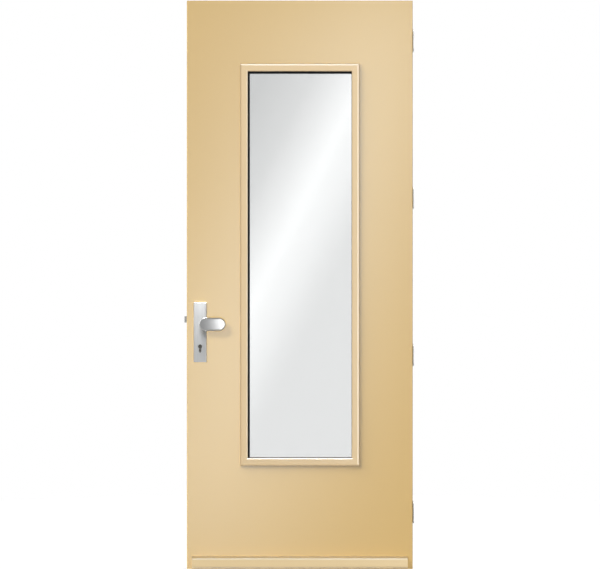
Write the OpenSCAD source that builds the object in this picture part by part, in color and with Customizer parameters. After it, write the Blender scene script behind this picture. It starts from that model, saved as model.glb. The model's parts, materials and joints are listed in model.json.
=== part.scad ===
// Inward-opening entrance door leaf: insulated flush leaf, moulded frame round sealed glass,
// mortice lock, profile cylinder, fixed outside knob, inside lever, weather bar and butt hinges.
// X runs across the leaf towards the hinges, Y from the outside to the inside, Z up.
// The origin is at the foot of the leaf, in the middle of its width and of its thickness.

/* [Leaf] */
// Width of the leaf
leaf_w = 930; // [860:5:1030]
// Height of the leaf
leaf_h = 2340; // [2250:5:2450]
// Thickness of the leaf
leaf_t = 54; // [52:1:60]
// Thickness of each face sheet
skin_t = 4; // [3:0.5:5]
// Radius along the upright edges of the face sheets
skin_edge_r = 2; // [1:0.5:2.5]
// Width of the stile that holds the lock
lock_stile_w = 100; // [94:1:115]
// Width of the stile that holds the hinges
hinge_stile_w = 70; // [50:1:100]
// Height of the top rail
top_rail_h = 90; // [60:1:130]
// Height of the bottom rail
bottom_rail_h = 120; // [70:1:200]
// Width of the timber lining round the glass
liner_w = 30; // [22:1:45]

/* [Glazing] */
// Distance from each upright edge of the leaf to the glass in sight
sight_side = 251; // [236:1:275]
// Distance from the top of the leaf to the glass in sight
sight_drop = 291; // [250:1:450]
// Height of the lowest glass in sight above the foot of the leaf
sight_z = 457; // [400:1:500]
// Thickness of each pane
pane_t = 5; // [4:0.5:6]
// Width of the space between the panes
cavity_t = 18; // [12:1:20]
// Thickness of the glazing tape
tape_t = 3; // [2:0.5:4]
// Width of the glazing tape
tape_w = 4; // [3:0.5:4.5]
// Distance from the sight line to the glazing tape
tape_inset = 0.5; // [0.3:0.1:1]
// How far the beads cover the glass at the top and on the lock side
glass_cover = 5; // [5:0.5:7]
// Thickness of the packers below the glass and on the hinge side
packer_t = 5; // [3:0.5:6]
// Length of each packer
packer_l = 100; // [60:5:140]
// Width of the spacer bar between the panes
spacer_w = 8; // [6:0.5:9]
// Width of the sealant outside the spacer bar
sealant_w = 5; // [4:0.5:6]

/* [Beads] */
// Width of the moulded beads
bead_w = 32; // [30:0.5:36]
// Part of the bead that laps over the face sheet
bead_lap = 14; // [13:0.5:15]
// Height of the beads above the face sheet
bead_proud = 11; // [9:0.5:14]
// Radius on the outer arris of the outside beads
bead_outer_r = 9; // [5:0.5:9]
// Radius on the outer arris of the inside beads
bead_inside_r = 5.5; // [3:0.5:6]
// Radius on the arris next to the glass
bead_sight_r = 5; // [3:0.5:6]
// Gap between the beads and the lining of the opening
bead_gap = 0.5; // [0.3:0.1:1]
// Distance from the sight line to the bead screws
bead_screw_u = 23; // [22.5:0.5:23.5]
// Number of screws in each upright bead
bead_screws_side = 6; // [3:1:9]
// Number of screws in each level bead
bead_screws_level = 2; // [2:1:4]
// Length of the bead screws
bead_screw_l = 32; // [28:1:40]

/* [Weather bar] */
// Distance from each upright edge of the leaf to the weather bar
bar_inset = 22; // [15:1:30]
// How far the weather bar stands out from the leaf
bar_d = 36; // [34:1:45]
// Height of the underside of the weather bar
bar_z = 8; // [4:1:15]
// Height of the weather bar's flat front
bar_front_h = 21; // [15:1:35]
// Radius of the weather bar's upper nose
bar_nose_r = 8; // [5:0.5:10]
// Radius of the weather bar's lower nose
bar_chin_r = 12; // [8:0.5:14]
// Fall of the weather bar's top in degrees
bar_fall = 8; // [4:1:15]
// Wall of the weather bar
bar_wall = 2; // [1.5:0.5:2.5]
// Thickness of the rail's base and of the end caps
rail_t = 2.5; // [2:0.5:3]
// Distance from the end of the weather bar to its rail
rail_short = 12; // [11:1:20]
// Distance from each end of the rail to its end screw
rail_screw_end = 81; // [76:1:120]
// Number of screws in the rail
rail_screws = 6; // [4:1:6]

/* [Lock] */
// Distance from the leaf's edge to the lever and cylinder axes
backset = 55; // [50:1:60]
// Height of the lever axis
follower_z = 1008; // [950:2:1080]
// Distance from the lever axis down to the cylinder axis
centres = 92; // [90:1:96]
// Thickness of the lock case
case_t = 16; // [15:0.5:18]
// Wall of the lock case
case_wall = 1.5; // [1:0.25:2]
// Height of the lock case above the lever axis
case_above = 50; // [49:1:56]
// Height of the lock case below the cylinder axis
case_below = 42; // [38:1:42]
// Depth of the lock case behind the lever axis
case_behind = 31; // [31:0.5:35]
// How far the face plate reaches past the lock case at each end
forend_past = 25.5; // [24.5:0.5:33]
// Width of the face plate
forend_w = 24; // [20:1:25]
// Thickness of the face plate
forend_t = 3; // [2.5:0.5:4]
// How far the latch stands out at rest
latch_out = 11; // [8:0.5:12]
// Height of the latch
latch_h = 26; // [20:1:28]
// Throw of the dead bolt
bolt_throw = 20; // [16:1:20]
// Height of the dead bolt
bolt_h = 32; // [28:1:38]
// Turn of the lever in degrees
lever_turn = 40; // [30:1:45]
// Side of the square spindle
spindle_s = 8; // [7:0.5:8]
// Gap round sliding lock pieces
slide_gap = 0.3; // [0.2:0.05:0.4]

/* [Cylinder] */
// Radius of the cylinder's round part
cyl_r = 8.5; // [8:0.25:8.75]
// Height of the whole cylinder profile
cyl_h = 33; // [32:0.5:34]
// Width of the cylinder's lower web
cyl_web = 10; // [9.5:0.25:10.5]
// How far the cylinder stands out from the outer plate
cyl_proud = 1; // [0:0.5:2]
// Radius of the plugs
plug_r = 6.4; // [5.5:0.1:6.8]
// Reach of the cam from the cylinder axis
cam_r = 15.5; // [14.5:0.25:15.5]
// Width of the cam along the cylinder
cam_w = 9.7; // [8:0.1:9.8]
// Running clearance of turning pieces, on the radius
running = 0.05; // [0.03:0.01:0.08]

/* [Plates and handles] */
// Width of the lock plates
plate_w = 53; // [50:1:60]
// Distance from the upper plate bolt to the plates' top
plate_past_top = 15; // [13:1:20]
// Distance from the lower plate bolt to the plates' foot
plate_past_foot = 16; // [13:1:20]
// Thickness of the outer plate
outer_plate_t = 10; // [8:0.5:12]
// Thickness of the inner plate
inner_plate_t = 8; // [7:0.5:10]
// Radius on the front arris of the plates
plate_edge_r = 2; // [1:0.5:2.5]
// Radius on the corners of the plates
plate_corner_r = 3; // [2.5:0.5:6]
// Wall of the plates round their hollow back
plate_wall = 4; // [3:0.5:5]
// Distance from the lever axis up to the upper plate bolt
bolt_above = 75; // [70:1:78]
// Distance from the lever axis down to the lower plate bolt
bolt_below = 140; // [138:1:142]
// Length of the knob's pad
pad_l = 107; // [90:1:120]
// Height of the knob's pad
pad_h = 55; // [50:1:66]
// Thickness of the knob's pad
pad_t = 13; // [11:0.5:16]
// Distance from the outer plate to the back of the pad
pad_gap = 32; // [26:1:40]
// Radius of the pad's crowned front
pad_crown = 600; // [500:20:800]
// Distance from the pad's middle across to the top of its crown
pad_lean = 10; // [0:1:12]
// Radius on the front arris of the pad
pad_edge_r = 9; // [7:0.5:9.5]
// Radius of the knob's neck
neck_r = 9; // [8:0.5:10]
// Distance from the lever axis across to the knob's neck
neck_shift = 10; // [10:0.5:12]
// Length of the lever from its axis
lever_l = 125; // [110:1:140]
// Height of the lever's section
lever_h = 19; // [18:0.5:19.5]
// Thickness of the lever's section
lever_t = 12; // [10:0.5:14]
// Clear space between the inner plate and the lever
lever_gap = 36; // [30:1:45]

/* [Hinges] */
// Height of each hinge
hinge_h = 89; // [76:1:102]
// Width of the open hinge
hinge_open_w = 89; // [80:1:100]
// Thickness of the hinge leaves
hinge_t = 3; // [2.5:0.25:3.5]
// Radius on the corners of the hinge leaves
hinge_corner_r = 9; // [4:0.5:12]
// Radius of the knuckles
knuckle_r = 6.75; // [6:0.25:7.5]
// Radius of the hinge pins
pin_r = 3; // [2.5:0.25:3.5]
// Gap between the closed hinge leaves
hinge_gap = 3; // [2.5:0.25:4]
// Clear space between the leaf's inside face and the knuckles
knuckle_gap = 1.75; // [1:0.25:3]
// Gap between neighbouring knuckles
knuckle_play = 0.3; // [0.2:0.05:0.5]
// Height of the lowest hinge's middle
hinge_low = 230; // [180:5:300]
// Distance from the leaf's top to the top hinge's middle
hinge_high = 160; // [120:5:220]
// Distance between the screws across a hinge leaf
hinge_screw_across = 17; // [14:0.5:18]
// Distance between the screws along a hinge leaf
hinge_screw_along = 60; // [50:1:66]
// Radius of the screw holes in the frame's hinge leaves
hinge_hole_r = 2.9; // [2.85:0.05:3]
// Length of the screws in the leaf's edge
hinge_screw_l = 40; // [30:1:45]

/* [Hidden] */
$fn = 64;
eps = 0.01;

// Colours
paint = [0.88, 0.78, 0.62];
timber = [0.76, 0.58, 0.38];
foam = [0.93, 0.91, 0.82];
steel = [0.75, 0.76, 0.78];
satin = [0.83, 0.84, 0.85];
brass = [0.78, 0.66, 0.36];
black = [0.10, 0.10, 0.10];
clear = [0.80, 0.86, 0.86, 0.45];

// Faces and edges of the leaf
edge_x = leaf_w / 2;
face_y = leaf_t / 2;
core_y = face_y - skin_t;
side_x0 = -edge_x + lock_stile_w;
side_x1 = edge_x - hinge_stile_w;
rail_z0 = bottom_rail_h;
rail_z1 = leaf_h - top_rail_h;

// Opening for the glass, and the sealed unit in it
sight_w = leaf_w - 2 * sight_side;
sight_top = leaf_h - sight_drop;
sight_h = sight_top - sight_z;
rebate = bead_w - bead_lap;
open_x = sight_w / 2 + rebate;
open_z0 = sight_z - rebate;
open_z1 = sight_top + rebate;
unit_x0 = -sight_w / 2 - glass_cover;
unit_x1 = open_x - packer_t;
unit_z0 = open_z0 + packer_t;
unit_z1 = sight_top + glass_cover;
glass_y = cavity_t / 2 + pane_t;
seat_y = glass_y + tape_t;
bead_depth = face_y - seat_y + bead_proud;

// Screws, as the radius of the shank, the radius of the head and the length
small_shank = 1.75;
small_head = 3.2;
rail_shank = 2;
rail_head = 4;
rail_screw_l = 30;
forend_shank = 2.2;
forend_head = 4;
forend_screw_l = 35;
forend_screw_inset = 8.5;
case_shank = 1.5;
case_head = case_shank + case_wall;
case_screw_l = 8;
hinge_head = 5;
hinge_shank = 2.6;
bolt_shank = 3;
bolt_head = 6;
cyl_screw_r = 2.5;
cyl_screw_head = 4.2;
screw_fit = 0.06;

// Weather bar: the barbs of its rail catch behind two lips inside it
bar_l = leaf_w - 2 * bar_inset;
rail_l = bar_l - 2 * rail_short;
rail_pitch = (rail_l - 2 * rail_screw_end) / (rail_screws - 1);
bar_nose = [bar_d - bar_nose_r, bar_z + bar_chin_r + bar_front_h];
bar_chin = [bar_d - bar_chin_r, bar_z + bar_chin_r];
drip_r = 1;
drip_back = 6;
clip_play = 0.2;
lip_t = 1.2;
lip_l = 2;
lip_p = rail_t + 0.3;
rail_arm_t = 1.5;
barb_l = 2;
barb_p = lip_p + lip_l + clip_play;
cap_play = 2;

// Lock axes and case
axis_x = -edge_x + backset;
cyl_z = follower_z - centres;
case_x0 = -edge_x + forend_t;
case_x1 = axis_x + case_behind;
case_z0 = cyl_z - case_below;
case_z1 = follower_z + case_above;
case_y = case_t / 2;
inside_y = case_y - case_wall;
inside_x1 = case_x1 - case_wall;
case_fit = 0.4;
forend_l = case_z1 - case_z0 + 2 * forend_past;
forend_z = (case_z0 + case_z1) / 2;
pillar_r = 3.5;
pillar_inset = 8;
pillar_front = 12;
pillar_back = 6;
bolt_piece_t = 2 * (inside_y - slide_gap);

// Follower, its arm and the latch tail that the arm draws
hub_r = 9.5;
journal_r = 7.4;
arm_r = latch_out / (2 * sin(lever_turn / 2));
arm_nose_r = 3;
arm_half = 1.9;
draw_y = 3;
arm_play = 0.1;
arm_rest_x = axis_x - arm_r * sin(lever_turn / 2);
lug_x = arm_rest_x + arm_nose_r + arm_play;
lug_l = 6;
lug_z0 = follower_z + arm_r * cos(lever_turn / 2) - arm_half;
tail_z0 = follower_z + arm_r + arm_nose_r + 2 * slide_gap;
tail_h = 7;
latch_z = tail_z0 + tail_h / 2 - 4;
latch_back = 15;
latch_lip = 2;
spring_z = tail_z0 + tail_h / 2;
spring_rod_r = 1.6;
spring_rod_l = 12;
spring_r = 2.9;
spring_wire_r = 0.5;
spring_turns = 7;

// Dead bolt: its tail has a talon on each side of the cam's path
cam_play = 1;
bolt_z = cyl_z + 26;
bolt_head_l = 32;
tail_y = 2.5;
talon_z = cyl_z + 10;
notch_z = cyl_z + cam_r + cam_play;
talon_reach = 10.6;
notch_mid = axis_x + bolt_throw / 2;
talon_l = 9.5;
tail_x1 = inside_x1 - 0.5;
guide_r = 2;
guide_x = axis_x - 8;
guide_z = bolt_z + 18;

// Cylinder
bore_fit = 1.5;
cam_gap = 5;
cyl_y0 = -(face_y + outer_plate_t + cyl_proud);
cyl_y1 = -cyl_y0;
web_r = cyl_web / 2;
cyl_screw_z = cyl_z - cyl_h + cyl_r + 4;
cyl_hole_fit = 0.3;
key_w = 2.4;
key_h = 8.6;
key_depth = 24;

// Plates and handles
upper_bolt_z = follower_z + bolt_above;
lower_bolt_z = follower_z - bolt_below;
plate_z0 = lower_bolt_z - plate_past_foot;
plate_h = upper_bolt_z + plate_past_top - plate_z0;
plate_mid_z = plate_z0 + plate_h / 2;
post_r = 6;
post_end_y = 8;
post_depth = 19;
plate_drill = 0.5;
boss_wall = 4.6;
boss_r = post_r + boss_wall;
bush_r = 12.4;
bush_wall = 2.35;
bush_flange = 1.2;
lever_neck_r = bush_r - bush_wall - running;
spindle_fit = 0.1;
pad_past = 1;
pad_x0 = axis_x - pad_past;
neck_x = axis_x + neck_shift;
neck_shoulder = 3;
neck_spigot_r = neck_r - neck_shoulder;
neck_foot_w = 2.5;
neck_foot_r = neck_r + neck_foot_w;
neck_foot_h = 3;
pad_r = pad_h / 2;
pad_back_r = 3;
neck_bend_r = 16;
lever_bend_r = 16;

// Hinges
pin_x = edge_x + hinge_gap / 2;
pin_y = face_y + knuckle_gap + knuckle_r;
leaf_reach = hinge_open_w / 2;
hinge_z = [for (i = [0:3]) hinge_low + i * (leaf_h - hinge_low - hinge_high) / 3];
knuckles = 5;
knuckle_h = hinge_h / knuckles;
hinge_screw_edge = 10;
hinge_screw_y = pin_y - leaf_reach + hinge_screw_edge + hinge_screw_across / 2;
pin_cap_r = 5.2;
pin_cap_h = 3;
recess_fit = 0.2;

// Shared shapes

// Turns a flat drawing so that its x runs along Y, its y along Z and its depth along X
module side_view() rotate([90, 0, 90]) children();

// Stands a flat drawing up so that its y runs along Z and its depth is shared about the plane
module front_view(depth) rotate([90, 0, 0]) linear_extrude(depth, center = true) children();

// Rectangle with round corners, about its middle
module round_rect(w, h, r) {
    square([w - 2 * r, h], center = true);
    square([w, h - 2 * r], center = true);
    for (x = [-1, 1], y = [-1, 1])
        translate([x * (w / 2 - r), y * (h / 2 - r)]) circle(r);
}

// Rectangle standing on its lower edge with two round upper corners
module round_top(w, h, r) {
    translate([-w / 2, 0]) square([w, h - r]);
    translate([-w / 2 + r, 0]) square([w - 2 * r, h]);
    for (x = [-1, 1]) translate([x * (w / 2 - r), h - r]) circle(r);
}

// Bar with two half-round ends, from one end's centre to the other's
module slot_shape(l, r) {
    translate([0, -r]) square([l, 2 * r]);
    circle(r);
    translate([l, 0]) circle(r);
}

// Box given by its lowest and highest corners
module span(a, b) translate(a) cube(b - a);

// Flat ring of rectangular outline standing in the plane of the leaf
module ring(x0, x1, z0, z1, w, y0, y1) {
    difference() {
        span([x0, y0, z0], [x1, y1, z1]);
        span([x0 + w, y0 - 1, z0 + w], [x1 - w, y1 + 1, z1 - w]);
    }
}

// Countersunk screw with its head's face at the origin, pointing down, with a crossed slot
module screw(l, shank, head) {
    head_h = head - shank;
    point_l = 1.5 * shank;
    point_r = shank / 4;
    slot_w = head / 4.5;
    slot_depth = 0.6 * head_h;
    difference() {
        rotate_extrude()
            polygon([[0, 0], [head, 0], [shank, -head_h], [shank, point_l - l], [point_r, -l],
                     [0, -l]]);
        for (a = [0, 90]) rotate(a)
            translate([-head / 2, -slot_w / 2, -slot_depth]) cube([head, slot_w, head_h]);
    }
}

// Hole that such a screw fills, open upwards
module screw_hole(l, shank, head) {
    r = shank + screw_fit;
    mouth = head + screw_fit;
    above = 5;
    rotate_extrude()
        polygon([[0, above], [mouth, above], [mouth, 0], [r, shank - head], [r, -l - screw_fit],
                 [0, -l - screw_fit]]);
}

// Places of the screws

module at_bead_screws_x(side) {
    for (i = [0 : bead_screws_side - 1])
        translate([side * (sight_w / 2 + bead_screw_u), face_y + bead_proud,
                   sight_z + sight_h * (i + 0.5) / bead_screws_side])
            rotate([-90, 0, 0]) children();
}

module at_bead_screws_z(top) {
    for (i = [0 : bead_screws_level - 1])
        translate([sight_w * ((i + 0.5) / bead_screws_level - 0.5), face_y + bead_proud,
                   top ? sight_top + bead_screw_u : sight_z - bead_screw_u])
            rotate([-90, 0, 0]) children();
}

module bead_holes() {
    for (side = [-1, 1]) at_bead_screws_x(side) screw_hole(bead_screw_l, small_shank, small_head);
    for (top = [true, false])
        at_bead_screws_z(top) screw_hole(bead_screw_l, small_shank, small_head);
}

module at_rail_screws() {
    for (i = [0 : rail_screws - 1])
        translate([(i - (rail_screws - 1) / 2) * rail_pitch, -face_y - rail_t,
                   bar_z + bar_chin_r + bar_front_h / 2])
            rotate([90, 0, 0]) children();
}

module at_forend_screws() {
    for (s = [-1, 1])
        translate([-edge_x, 0, forend_z + s * (forend_l / 2 - forend_screw_inset)])
            rotate([0, -90, 0]) children();
}

module at_plate_bolts() {
    for (z = [upper_bolt_z, lower_bolt_z])
        translate([axis_x, 0, z]) rotate([-90, 0, 0]) children();
}

module at_case_pillars() {
    for (x = [case_x0 + pillar_front, inside_x1 - pillar_back],
         z = [case_z0 + pillar_inset, case_z1 - pillar_inset])
        translate([x, 0, z]) rotate([90, 0, 0]) children();
}

module at_hinge_screws(z) {
    for (y = [-1, 1], s = [-1, 1])
        translate([0, hinge_screw_y + y * hinge_screw_across / 2, z + s * hinge_screw_along / 2])
            children();
}

// Cuts in the leaf

module hinge_outline(grow) {
    translate([pin_y - leaf_reach - grow, -hinge_h / 2 - grow]) difference() {
        square([leaf_reach + 2 * grow, hinge_h + 2 * grow]);
        for (s = [0, 1]) translate([0, s * (hinge_h + 2 * grow)]) mirror([0, s])
            difference() {
                translate([-1, -1]) square(hinge_corner_r + 1);
                translate([hinge_corner_r, hinge_corner_r]) circle(hinge_corner_r);
            }
    }
}

module hinge_recesses() {
    for (z = hinge_z) translate([edge_x - hinge_t, 0, z])
        side_view() linear_extrude(2 * hinge_t) hinge_outline(recess_fit);
}

module hinge_screw_holes() {
    for (z = hinge_z) at_hinge_screws(z) translate([edge_x, 0, 0]) rotate([0, 90, 0])
        screw_hole(hinge_screw_l, hinge_shank, hinge_head);
}

// Keyhole-shaped section of the cylinder, drawn about its axis
module cylinder_profile(grow) {
    circle(cyl_r + grow);
    drop = cyl_h - cyl_r - web_r;
    translate([-web_r - grow, -drop]) square([cyl_web + 2 * grow, drop]);
    translate([0, -drop]) circle(web_r + grow);
}

module cylinder_cut(grow, y0, y1) {
    translate([axis_x, y1, cyl_z]) rotate([90, 0, 0])
        linear_extrude(y1 - y0) cylinder_profile(grow);
}

module forend_shape(grow) {
    translate([0, -forend_l / 2 + forend_w / 2]) rotate(90)
        slot_shape(forend_l - forend_w, forend_w / 2 + grow);
}

// Leaf

module face_sheet() {
    difference() {
        linear_extrude(leaf_h) translate([0, core_y]) round_top(leaf_w, skin_t, skin_edge_r);
        span([-open_x, 0, open_z0], [open_x, leaf_t, open_z1]);
    }
}

module outer_skin() color(paint) {
    difference() {
        mirror([0, 1, 0]) face_sheet();
        cylinder_cut(bore_fit, -leaf_t, 0);
        at_plate_bolts() translate([0, 0, -leaf_t]) cylinder(h = leaf_t, r = post_r + plate_drill);
        at_rail_screws() screw_hole(rail_screw_l, rail_shank, rail_head);
    }
}

module inner_skin() color(paint) {
    difference() {
        face_sheet();
        cylinder_cut(bore_fit, 0, leaf_t);
        translate([axis_x, 0, follower_z]) rotate([-90, 0, 0]) cylinder(h = leaf_t, r = bush_r);
        at_plate_bolts() cylinder(h = leaf_t, r = bolt_shank + plate_drill);
        bead_holes();
        hinge_recesses();
    }
}

module lock_stile() color(timber) {
    difference() {
        span([-edge_x, -core_y, 0], [side_x0, core_y, leaf_h]);
        span([-edge_x - 1, -case_y - case_fit, case_z0 - case_fit],
             [case_x1 + case_fit, case_y + case_fit, case_z1 + case_fit]);
        translate([-edge_x - 1, 0, forend_z]) side_view()
            linear_extrude(forend_t + 1) forend_shape(recess_fit);
        at_forend_screws() screw_hole(forend_screw_l, forend_shank, forend_head);
        cylinder_cut(bore_fit, -leaf_t, leaf_t);
        translate([axis_x, 0, follower_z]) rotate([-90, 0, 0]) cylinder(h = leaf_t, r = bush_r);
        at_plate_bolts() translate([0, 0, -leaf_t]) cylinder(h = leaf_t, r = post_r + plate_drill);
        at_plate_bolts() cylinder(h = leaf_t, r = bolt_shank + plate_drill);
    }
}

module hinge_stile() color(timber) {
    difference() {
        span([side_x1, -core_y, 0], [edge_x, core_y, leaf_h]);
        hinge_recesses();
        hinge_screw_holes();
    }
}

module top_rail() color(timber) span([side_x0, -core_y, rail_z1], [side_x1, core_y, leaf_h]);

module bottom_rail() color(timber) {
    difference() {
        span([side_x0, -core_y, 0], [side_x1, core_y, rail_z0]);
        at_rail_screws() screw_hole(rail_screw_l, rail_shank, rail_head);
    }
}

module aperture_stile(side) color(timber) {
    x0 = side < 0 ? -open_x - liner_w : open_x;
    difference() {
        span([x0, -core_y, rail_z0], [x0 + liner_w, core_y, rail_z1]);
        bead_holes();
    }
}

module aperture_rail(z0) color(timber) {
    difference() {
        span([-open_x, -core_y, z0], [open_x, core_y, z0 + liner_w]);
        bead_holes();
    }
}

module insulation_core() color(foam) {
    span([side_x0, -core_y, rail_z0], [-open_x - liner_w, core_y, rail_z1]);
    span([open_x + liner_w, -core_y, rail_z0], [side_x1, core_y, rail_z1]);
    span([-open_x, -core_y, rail_z0], [open_x, core_y, open_z0 - liner_w]);
    span([-open_x, -core_y, open_z1 + liner_w], [open_x, core_y, rail_z1]);
}

// Glazing

// Section of a bead: x away from the glass in sight, y out of the leaf from the tape
module bead_section(outer_r) {
    difference() {
        square([bead_w, bead_depth]);
        translate([rebate - bead_gap, -1]) square([bead_w, bead_depth - bead_proud + 1]);
        translate([bead_w - outer_r, bead_depth - outer_r]) difference() {
            square(outer_r + 1);
            circle(outer_r);
        }
        translate([bead_sight_r, bead_depth - bead_sight_r]) difference() {
            translate([-bead_sight_r - 1, 0]) square(bead_sight_r + 1);
            circle(bead_sight_r);
        }
    }
}

// Bead along X with its sight edge on the X axis, mitred at both ends, on the outside face
module mitred_bead(sight, outer_r) {
    half = sight / 2;
    intersection() {
        rotate(180, [1, 0, 1]) linear_extrude(sight + 2 * bead_w, center = true)
            bead_section(outer_r);
        front_view(3 * bead_depth)
            polygon([[-half, 0], [half, 0], [half + bead_w, bead_w], [-half - bead_w, bead_w]]);
    }
}

module bead_at_top(r) translate([0, -seat_y, sight_top]) mitred_bead(sight_w, r);
module bead_at_bottom(r) translate([0, -seat_y, sight_z]) rotate([0, 180, 0]) mitred_bead(sight_w, r);
module bead_at_side(side, r) {
    translate([side * sight_w / 2, -seat_y, sight_z + sight_h / 2]) rotate([0, side * 90, 0])
        mitred_bead(sight_h, r);
}

module outer_bead_top() color(paint) bead_at_top(bead_outer_r);
module outer_bead_bottom() color(paint) bead_at_bottom(bead_outer_r);
module outer_bead_side(side) color(paint) bead_at_side(side, bead_outer_r);

module inner_bead() color(paint) {
    difference() {
        mirror([0, 1, 0]) children();
        bead_holes();
    }
}

module bead_screws() color(steel) {
    for (side = [-1, 1]) at_bead_screws_x(side) screw(bead_screw_l, small_shank, small_head);
    for (top = [true, false]) at_bead_screws_z(top) screw(bead_screw_l, small_shank, small_head);
}

module glazing_tapes() color(black) {
    out = tape_inset + tape_w;
    for (y = [-seat_y, glass_y])
        ring(-sight_w / 2 - out, sight_w / 2 + out, sight_z - out, sight_top + out,
             tape_w, y, y + tape_t);
}

module pane(y0) color(clear) span([unit_x0, y0, unit_z0], [unit_x1, y0 + pane_t, unit_z1]);

module spacer_bar() color(black) {
    ring(unit_x0 + sealant_w, unit_x1 - sealant_w, unit_z0 + sealant_w, unit_z1 - sealant_w,
         spacer_w, -cavity_t / 2, cavity_t / 2);
}

module edge_sealant() color(black) {
    ring(unit_x0, unit_x1, unit_z0, unit_z1, sealant_w, -cavity_t / 2, cavity_t / 2);
}

module glazing_packers() color(black) {
    mid_x = (unit_x0 + unit_x1) / 2;
    reach_x = (unit_x1 - unit_x0) / 2 - packer_l;
    for (s = [-1, 1]) {
        x = mid_x + s * reach_x - packer_l / 2;
        span([x, -glass_y, open_z0], [x + packer_l, glass_y, unit_z0]);
        span([x, -glass_y, unit_z1], [x + packer_l, glass_y, open_z1]);
    }
    for (z = [unit_z0 + packer_l, unit_z1 - 2 * packer_l]) {
        span([-open_x, -glass_y, z], [unit_x0, glass_y, z + packer_l]);
        span([unit_x1, -glass_y, z], [open_x, glass_y, z + packer_l]);
    }
}

// Weather bar

function bar_shoulder(inset) =
    bar_nose + (bar_nose_r - inset) * [sin(bar_fall), cos(bar_fall)];
function bar_top(inset, p) =
    bar_shoulder(inset)[1] + (bar_shoulder(inset)[0] - p) * tan(bar_fall);

// Section of the weather bar: x out from the leaf, y up, from a given distance behind its back
module bar_section(inset, back) {
    polygon([[back, bar_z + inset], [bar_chin[0], bar_z + inset], bar_chin,
             [bar_d - inset, bar_chin[1]], [bar_d - inset, bar_nose[1]], bar_nose,
             bar_shoulder(inset), [back, bar_top(inset, back)]]);
    translate(bar_chin) circle(bar_chin_r - inset);
    translate(bar_nose) circle(bar_nose_r - inset);
}

// Turns a weather bar section so that it stands out from the outside face, along X
module along_bar(l) {
    translate([0, -face_y, 0]) rotate([90, 0, -90]) linear_extrude(l, center = true) children();
}

module weather_bar() color(paint) {
    along_bar(bar_l - 2 * rail_t) {
        difference() {
            bar_section(0, 0);
            bar_section(bar_wall, -1);
            translate([bar_chin[0] - drip_back, bar_z]) circle(drip_r);
        }
        translate([lip_p, bar_top(bar_wall, lip_p + lip_l) - lip_t]) square([lip_l, 2 * lip_t]);
        translate([lip_p, bar_z + bar_wall - lip_t / 2]) square([lip_l, 1.5 * lip_t]);
    }
}

module weather_bar_rail() color(steel) {
    z0 = bar_z + bar_wall + lip_t + clip_play;
    z1 = bar_top(bar_wall, lip_p + lip_l) - lip_t - clip_play;
    difference() {
        along_bar(rail_l) {
            translate([0, z0]) square([rail_t, z1 - z0]);
            for (arm_z = [z0, z1 - rail_arm_t])
                translate([rail_t - eps, arm_z]) square([barb_p - rail_t + barb_l, rail_arm_t]);
            translate([barb_p, z0 - lip_t + clip_play]) square([barb_l, lip_t]);
            translate([barb_p, z1 - clip_play]) square([barb_l, lip_t - 2 * clip_play]);
        }
        at_rail_screws() screw_hole(rail_screw_l, rail_shank, rail_head);
    }
}

module weather_bar_end_caps() color(paint) {
    plug_l = rail_short - rail_t - cap_play;
    for (s = [-1, 1]) {
        translate([s * (bar_l - rail_t) / 2, 0, 0]) along_bar(rail_t) bar_section(0, 0);
        translate([s * (bar_l / 2 - rail_t - plug_l / 2), 0, 0]) along_bar(plug_l + eps)
            intersection() {
                bar_section(bar_wall + clip_play, 0);
                translate([barb_p + barb_l, 0]) square([bar_d, 3 * bar_d]);
            }
    }
}

module weather_bar_screws() color(steel) at_rail_screws() screw(rail_screw_l, rail_shank, rail_head);

// Lock

module lock_case() color(steel) {
    difference() {
        union() {
            difference() {
                span([case_x0, -inside_y, case_z0], [case_x1, case_y, case_z1]);
                span([case_x0 - 1, -case_y, case_z0 + case_wall],
                     [inside_x1, inside_y, case_z1 - case_wall]);
            }
            at_case_pillars() translate([0, 0, -inside_y]) cylinder(h = 2 * inside_y, r = pillar_r);
            translate([guide_x, inside_y, guide_z]) rotate([90, 0, 0])
                cylinder(h = 2 * inside_y, r = guide_r);
        }
        at_case_pillars() translate([0, 0, inside_y - 9]) cylinder(h = 12, r = case_shank + screw_fit);
        translate([axis_x, 0, follower_z]) rotate([-90, 0, 0])
            cylinder(h = case_t, r = journal_r + running);
        cylinder_cut(cyl_hole_fit, 0, case_t);
    }
}

module lock_cover() color(steel) {
    difference() {
        span([case_x0, -case_y, case_z0], [case_x1, -inside_y, case_z1]);
        at_case_pillars() translate([0, 0, case_y])
            screw_hole(case_screw_l, case_shank, case_head);
        translate([axis_x, 0, follower_z]) rotate([90, 0, 0])
            cylinder(h = case_t, r = journal_r + running);
        cylinder_cut(cyl_hole_fit, -case_t, 0);
    }
}

module forend() color(satin) {
    difference() {
        translate([-edge_x, 0, forend_z]) side_view() linear_extrude(forend_t) forend_shape(0);
        for (hole = [[latch_z, latch_h], [bolt_z + bolt_h / 2, bolt_h]])
            translate([-edge_x + forend_t / 2, 0, hole[0]])
                cube([2 * forend_t, 2 * inside_y, hole[1] + 2 * slide_gap], center = true);
        at_forend_screws() screw_hole(forend_screw_l, forend_shank, forend_head);
        translate([-edge_x, 0, cyl_screw_z]) rotate([0, -90, 0])
            screw_hole(backset, cyl_screw_r, cyl_screw_head);
    }
}

module lock_screws() color(steel) {
    at_forend_screws() screw(forend_screw_l, forend_shank, forend_head);
    at_case_pillars() translate([0, 0, case_y]) screw(case_screw_l, case_shank, case_head);
}

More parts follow.
